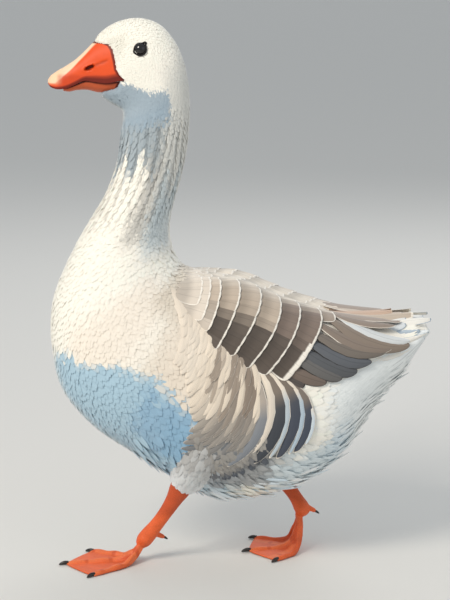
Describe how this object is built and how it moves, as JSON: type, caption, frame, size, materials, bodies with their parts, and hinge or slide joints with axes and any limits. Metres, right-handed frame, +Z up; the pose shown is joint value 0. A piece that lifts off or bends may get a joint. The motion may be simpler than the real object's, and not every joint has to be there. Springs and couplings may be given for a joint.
{
  "type": "domestic goose model",
  "caption": "Life-size standing goose with folded wings, webbed feet and a raised neck, for display.",
  "frame": {"origin": "on the floor below the middle of the bird's length", "axes": "+Z up, the bill points to -X, the bird's left side faces -Y"},
  "size_m": [0.4765, 0.2106, 0.6779],
  "materials": {
    "feather_white": "matt white feathers",
    "feather_grey": "matt grey-brown feathers with pale edges",
    "bill_orange": "satin orange horn",
    "leg_orange": "satin orange scaled skin",
    "claw_horn": "satin dark horn",
    "eye_dark": "glossy dark eye"
  },
  "bodies": {
    "root": {"head": "feather_white", "neck": "feather_white", "trunk": "feather_white", "tail": "feather_white", "left_thigh": "feather_white", "right_thigh": "feather_white", "left_wing": "feather_grey", "right_wing": "feather_grey", "left_flight_feathers": "feather_grey", "right_flight_feathers": "feather_grey", "upper_bill": "bill_orange", "lower_bill": "bill_orange", "left_eye": "eye_dark", "right_eye": "eye_dark", "left_shank": "leg_orange", "right_shank": "leg_orange", "left_foot": "leg_orange", "right_foot": "leg_orange", "left_outer_claw": "claw_horn", "left_middle_claw": "claw_horn", "left_inner_claw": "claw_horn", "left_hind_claw": "claw_horn", "right_outer_claw": "claw_horn", "right_middle_claw": "claw_horn", "right_inner_claw": "claw_horn", "right_hind_claw": "claw_horn"}
  },
  "joints": []
}
